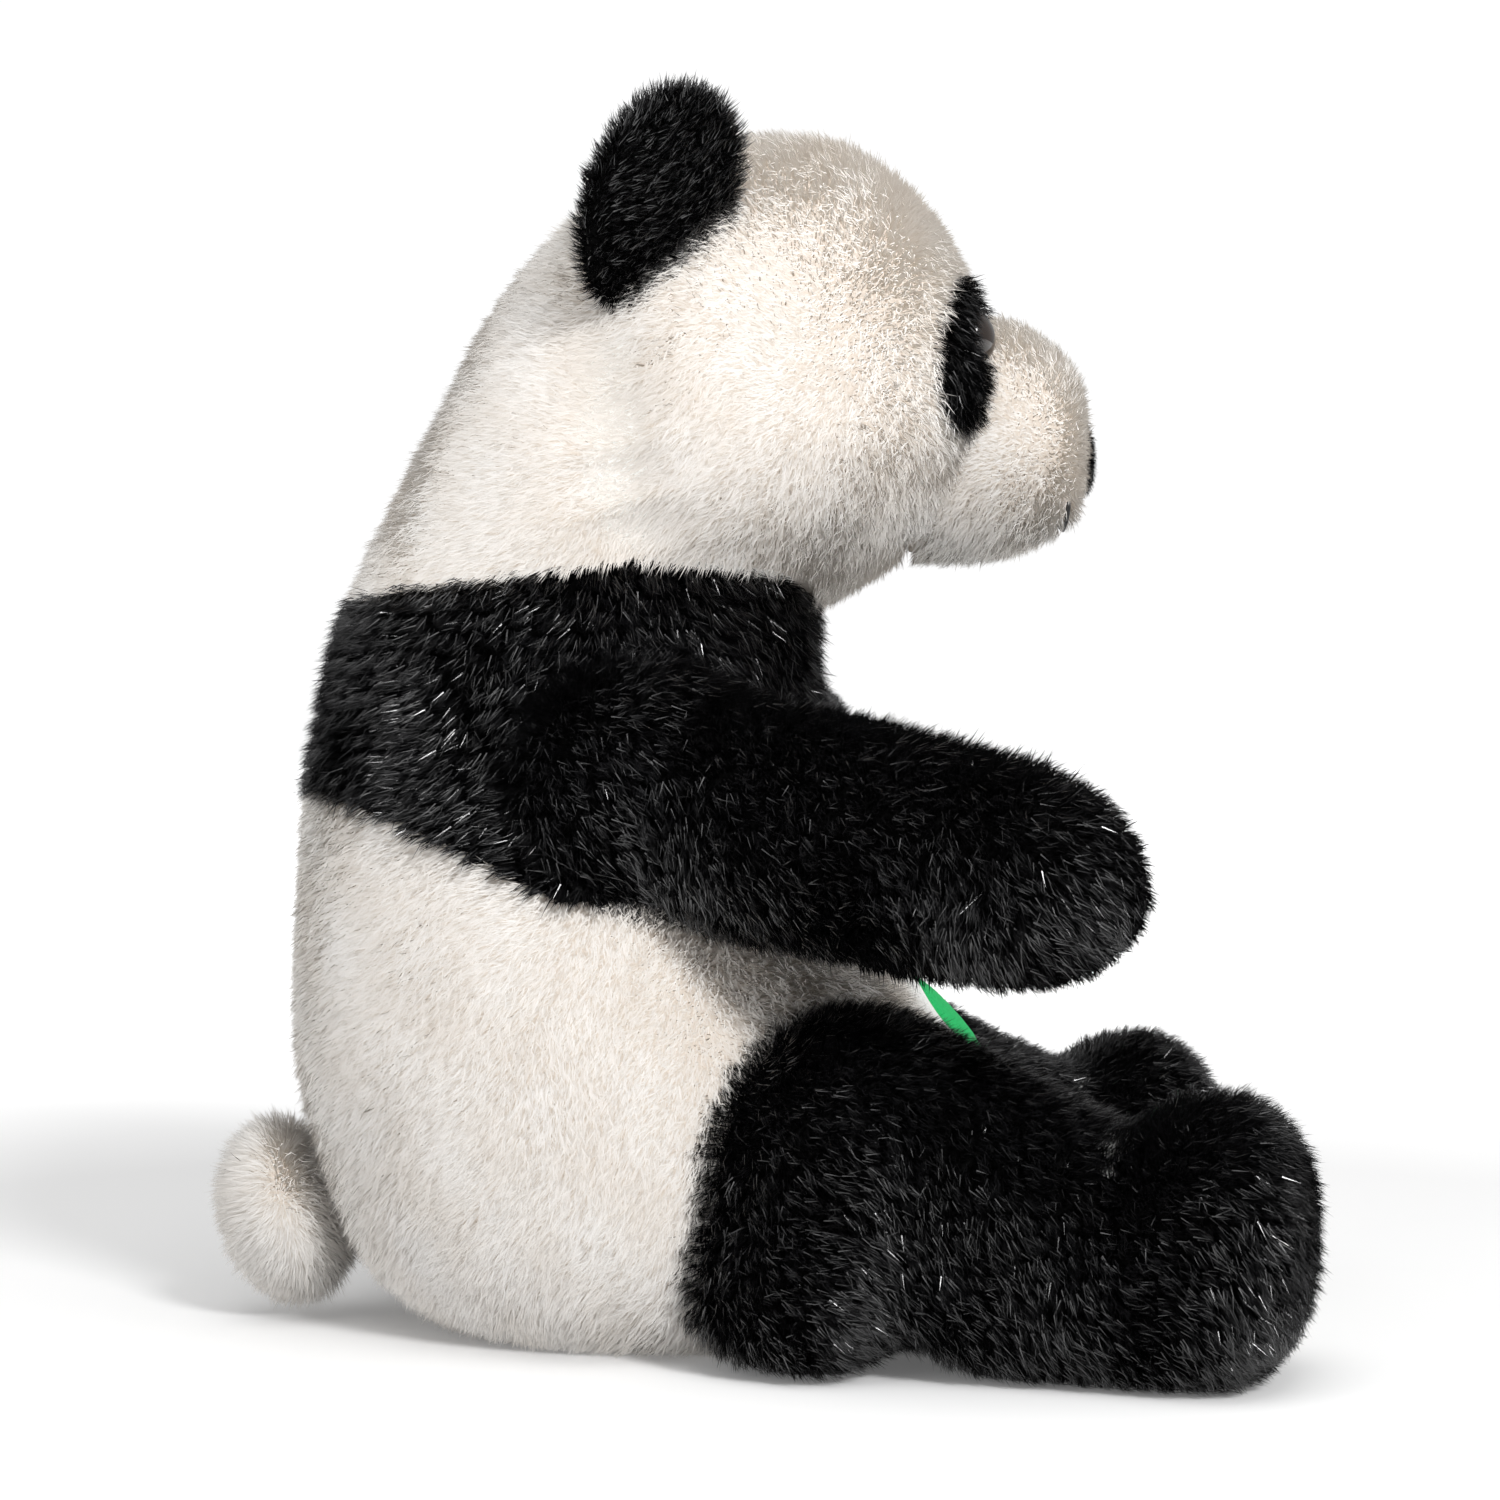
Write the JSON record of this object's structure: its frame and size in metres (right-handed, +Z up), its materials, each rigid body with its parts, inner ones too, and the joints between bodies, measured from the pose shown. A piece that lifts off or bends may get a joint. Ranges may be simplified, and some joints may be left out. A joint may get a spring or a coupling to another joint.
{
  "type": "plush panda",
  "caption": "Seated plush panda with sewn, stuffed limbs: the head nods, the arms rise, the legs spread, and the ears and tail flex and spring back.",
  "frame": {"origin": "on the ground under the seat, at the middle of the flat base panel's width", "axes": "+Z up; the panda faces -Y; its left side is +X"},
  "size_m": [0.2846, 0.2559, 0.2942],
  "materials": {
    "white_plush": "dense cream-white plush, pile about 8 mm, soft and matte",
    "black_plush": "dense black plush, pile about 8 mm, with fine glints from the fibres",
    "stuffing": "loose white polyester fibre",
    "patch_felt": "short-napped green felt with a white edge",
    "label_satin": "light grey woven satin, blank",
    "black_thread": "black embroidery thread",
    "eye_plastic": "polished dark brown plastic",
    "washer_plastic": "plain moulded plastic"
  },
  "bodies": {
    "torso": {"torso_cover_left": "white_plush", "torso_cover_right": "white_plush", "base_panel": "white_plush", "yoke_left": "black_plush", "yoke_right": "black_plush", "torso_stuffing": "stuffing", "belly_patch": "patch_felt", "care_label": "label_satin"},
    "head": {"head_cover_left": "white_plush", "head_cover_right": "white_plush", "head_gusset": "white_plush", "head_stuffing": "stuffing", "muzzle_cover": "white_plush", "muzzle_stuffing": "stuffing", "nose": "black_plush", "mouth_stitch": "black_thread", "eye_patch_left": "black_plush", "eye_patch_right": "black_plush", "eye_left": "eye_plastic", "eye_right": "eye_plastic", "eye_washer_left": "washer_plastic", "eye_washer_right": "washer_plastic"},
    "ear_left": {"ear_left_front": "black_plush", "ear_left_back": "black_plush"},
    "ear_right": {"ear_right_front": "black_plush", "ear_right_back": "black_plush"},
    "arm_left": {"arm_left_outer": "black_plush", "arm_left_inner": "black_plush", "arm_left_stuffing": "stuffing"},
    "arm_right": {"arm_right_outer": "black_plush", "arm_right_inner": "black_plush", "arm_right_stuffing": "stuffing"},
    "leg_left": {"leg_left_outer": "black_plush", "leg_left_inner": "black_plush", "foot_sole_left": "black_plush", "leg_left_stuffing": "stuffing"},
    "leg_right": {"leg_right_outer": "black_plush", "leg_right_inner": "black_plush", "foot_sole_right": "black_plush", "leg_right_stuffing": "stuffing"},
    "tail": {"tail_left": "white_plush", "tail_right": "white_plush", "tail_stuffing": "stuffing"}
  },
  "joints": [
    {"name": "head_nod", "type": "hinge", "parent": "torso", "child": "head", "pos_m": [0, 0.042, 0.15], "axis": [1, 0, 0], "range_deg": [-10, 10], "stiffness_Nm_per_rad": 1.2},
    {"name": "arm_left_raise", "type": "hinge", "parent": "torso", "child": "arm_left", "pos_m": [0.042, 0.028, 0.132], "axis": [-0.342, -0.9397, 0], "range_deg": [-5, 27], "stiffness_Nm_per_rad": 0.4},
    {"name": "arm_right_raise", "type": "hinge", "parent": "torso", "child": "arm_right", "pos_m": [-0.042, 0.028, 0.132], "axis": [-0.848, 0.5299, 0], "range_deg": [-5, 27], "stiffness_Nm_per_rad": 0.4},
    {"name": "leg_left_spread", "type": "hinge", "parent": "torso", "child": "leg_left", "pos_m": [0.056, -0.025, 0.043], "axis": [0, 0, 1], "range_deg": [-5, 20], "stiffness_Nm_per_rad": 0.4},
    {"name": "leg_right_spread", "type": "hinge", "parent": "torso", "child": "leg_right", "pos_m": [-0.056, -0.025, 0.043], "axis": [0, 0, -1], "range_deg": [-5, 20], "stiffness_Nm_per_rad": 0.4},
    {"name": "ear_left_fold", "type": "hinge", "parent": "head", "child": "ear_left", "pos_m": [0.053, 0.029, 0.2515], "axis": [0.5109, 0.8297, 0.2248], "range_deg": [-6, 30], "stiffness_Nm_per_rad": 0.03},
    {"name": "ear_right_fold", "type": "hinge", "parent": "head", "child": "ear_right", "pos_m": [-0.053, 0.029, 0.2515], "axis": [0.5109, -0.8297, -0.2248], "range_deg": [-6, 30], "stiffness_Nm_per_rad": 0.03},
    {"name": "tail_wag", "type": "hinge", "parent": "torso", "child": "tail", "pos_m": [0, 0.099, 0.032], "axis": [0, 0.2756, 0.9613], "range_deg": [-17, 17], "stiffness_Nm_per_rad": 0.05}
  ]
}
